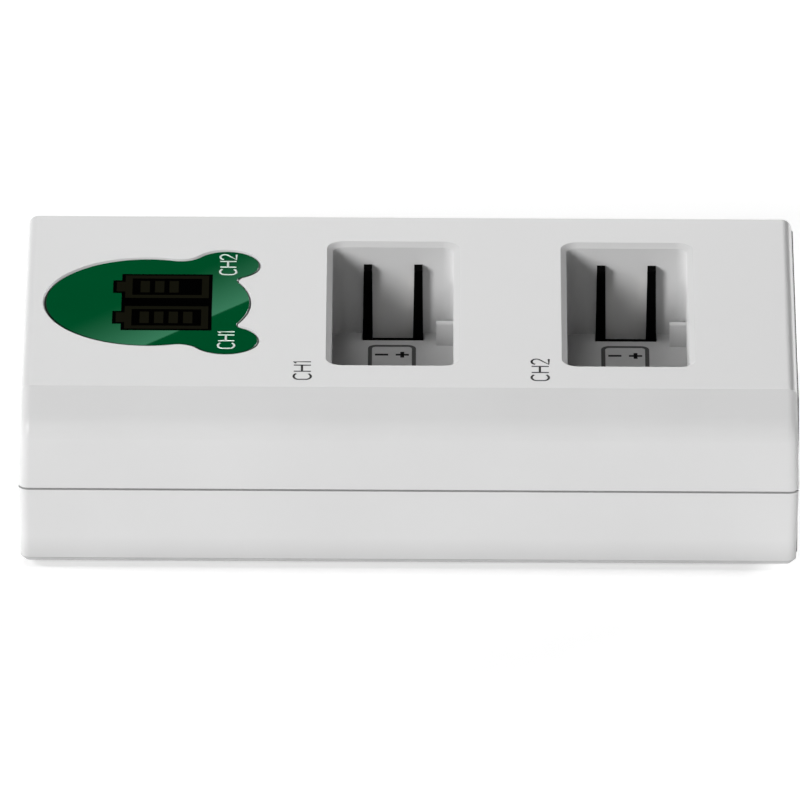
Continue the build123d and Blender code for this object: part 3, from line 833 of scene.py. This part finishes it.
def make_light_table():
    material = bpy.data.materials.new("light_table")
    material.use_nodes = True
    tree = material.node_tree
    shader = shader_of(material)
    shader.inputs["Base Color"].default_value = (table_white, table_white, table_white, 1)
    shader.inputs["Roughness"].default_value = 0.9
    shader.inputs["Specular IOR Level"].default_value = 0.0
    shader.inputs["Emission Strength"].default_value = 1.0
    place = node_at(tree, "ShaderNodeTexCoord").outputs["Object"]
    split = node_at(tree, "ShaderNodeSeparateXYZ", (0, place))
    beyond_x = math_at(tree, "SUBTRACT", math_at(tree, "ABSOLUTE", split.outputs["X"]), body_high.x)
    beyond_y = math_at(tree, "SUBTRACT", math_at(tree, "ABSOLUTE", split.outputs["Y"]), body_high.y)
    outside = math_at(tree, "MAXIMUM", beyond_x, beyond_y)
    # painted shade: the glow is weaker near the body and grows outwards
    glow_with_painted_shade = ramp_at(tree, outside, *shade_glow_distance, *shade_glow_levels)
    # painted light: more glow at the right end, over the body's shadow there
    right_rise = ramp_at(tree, split.outputs["X"], body_high.x - painted_fill_start, body_high.x, 0.0,
                         painted_fill_glow)
    right_fall = ramp_at(tree, outside, *painted_fill_reach, 1.0, 0.0)
    painted_shade_and_fill_glow = math_at(tree, "ADD", glow_with_painted_shade, math_at(tree, "MULTIPLY", right_rise, right_fall))
    glow = math_at(tree, "MULTIPLY", ramp_at(tree, outside, *mask_edge), painted_shade_and_fill_glow)
    tree.links.new(glow, shader.inputs["Emission Color"])
    lay_out(tree)
    return material


floor_mesh = bpy.data.meshes.new("floor")
floor_side = (-floor_half, floor_half)
floor_mesh.from_pydata([(x, y, 0) for x, y in rectangle(floor_side, floor_side)], [], [(0, 1, 2, 3)])
floor_mesh.materials.append(make_light_table())
floor = bpy.data.objects.new("floor", floor_mesh)
bpy.context.scene.collection.objects.link(floor)
print("floor side in m:", 2 * floor_half)

# %% [markdown]
# Six softboxes of one size stand round the table at one distance, most of them low. Low light grazes the top
# without falling into the bays, so their floors stay dark, and the key from the front left brightens the
# bays' right walls. Two of them stand where the polished window would mirror them towards someone at the
# back or on the right, and hide it under a white patch, so they give no gloss.

# %% Softboxes
softbox_distance = 1.5
softbox_size = 0.4


def softbox(name, azimuth, elevation, power):
    """A soft area light that points at the body. Azimuth 0 is behind the camera, and 90 is on the left."""
    level = cos(radians(elevation))
    way = Vector((-sin(radians(azimuth)) * level, -cos(radians(azimuth)) * level, sin(radians(elevation))))
    data = bpy.data.lights.new(name, "AREA")
    data.shape = "SQUARE"
    data.size = softbox_size
    data.energy = power
    light = bpy.data.objects.new(name, data)
    light.location = look_at + way * softbox_distance
    light.rotation_euler = way.to_track_quat("Z", "Y").to_euler()
    light.visible_camera = False
    bpy.context.scene.collection.objects.link(light)
    return light


softboxes = (("key_front", 30, 19.2, 14.5), ("left_high", 90, 32, 10.0), ("right_back_low", 225, 7, 16.0),
             ("back_low", 180, 7, 6.0), ("overhead", 90, 75, 3.4), ("fill_front", 0, 20, 2.2))
without_gloss = ("fill_front", "left_high")
for name, azimuth, elevation, power in softboxes:
    light = softbox(name, azimuth, elevation, power)
    light.visible_glossy = name not in without_gloss
print("lights:", ", ".join(row[0] for row in softboxes))

# %% [markdown]
# The polished window mirrors what stands behind the body. A black card hangs there, level like the window
# and a little larger, so each point of the window mirrors the point of the card with the same local
# coordinates. Black keeps the window deep green, and one bright wedge on the card gives it the sheen with a
# straight edge that runs across it: brightest along the edge, and gone about a centimetre further. The wedge
# is pale green, as a reflection through green plastic is. Only reflections see the card.

# %% Card behind the window
card_rise = 80 * MM
card_spread = card_rise / (eye.z - window_high.z)
card_margin = 10 * MM
sheen_start = Vector((-31.48 * MM, -12.40 * MM, 0))
sheen_end = Vector((-19.17 * MM, 0.53 * MM, 0))
sheen_length = 10.4 * MM
sheen_blur = 0.05 * MM
sheen_falloff = 1.25
sheen_strength = 1.2
sheen_colour = (0.29, 0.86, 0.57, 1)


def make_card_material():
    along = (sheen_end - sheen_start).normalized()
    across = Vector((-along.y, along.x, 0))
    material = bpy.data.materials.new("sheen_card")
    material.use_nodes = True
    tree = material.node_tree
    tree.nodes.remove(shader_of(material))
    place = node_at(tree, "ShaderNodeTexCoord").outputs["Object"]
    dot = node_at(tree, "ShaderNodeVectorMath", (0, place), (1, across), operation="DOT_PRODUCT")
    away = math_at(tree, "SUBTRACT", dot.outputs["Value"], sheen_start.dot(across))
    fade = math_at(tree, "POWER", ramp_at(tree, away, 0.0, sheen_length, 1.0, 0.0), sheen_falloff)
    edge = ramp_at(tree, away, -sheen_blur, sheen_blur, 0.0, sheen_strength)
    wedge = math_at(tree, "MULTIPLY", fade, edge)
    glow = node_at(tree, "ShaderNodeEmission", ("Color", sheen_colour), ("Strength", wedge))
    tree.links.new(glow.outputs[0], tree.nodes["Material Output"].inputs["Surface"])
    lay_out(tree)
    return material


card_mesh = bpy.data.meshes.new("sheen_card")
card_x = (window_low.x - card_margin, window_high.x + card_margin)
card_y = (window_low.y - card_margin, window_high.y + card_margin)
card_mesh.from_pydata([(x, y, 0) for x, y in rectangle(card_x, card_y)], [], [(3, 2, 1, 0)])
card_mesh.materials.append(make_card_material())
card = bpy.data.objects.new("sheen_card", card_mesh)
bpy.context.scene.collection.objects.link(card)
card.location = (-eye.x * card_spread, -eye.y * card_spread, window_high.z + card_rise)
card.scale = (1 + card_spread, 1 + card_spread, 1)
card.visible_camera = False
card.visible_diffuse = False
card.visible_transmission = False
card.visible_shadow = False
print("card height in mm:", round(card.location.z / MM), "spread:", round(card_spread, 3))

# %% [markdown]
# The room itself gives hardly any light, so that the softboxes and the table shape the body. Where the
# camera looks past the table it sees plain white, like a paper background. The colours are shown as they
# are, with no film look over them.

# %% Room light
room_strength = 0.012
white = (1, 1, 1, 1)
world = bpy.data.worlds.new("room")
world.use_nodes = True
bpy.context.scene.world = world
room = world.node_tree
sky = room.nodes["Background"]
sky.inputs["Color"].default_value = white
sky.inputs["Strength"].default_value = room_strength
seen = node_at(room, "ShaderNodeBackground", ("Color", white), ("Strength", 1.0))
path = node_at(room, "ShaderNodeLightPath")
choice = node_at(room, "ShaderNodeMixShader", (0, path.outputs["Is Camera Ray"]), (1, sky.outputs[0]),
                 (2, seen.outputs[0]))
room.links.new(choice.outputs[0], room.nodes["World Output"].inputs["Surface"])
bpy.context.scene.view_settings.view_transform = "Standard"
print("room light strength:", room_strength)
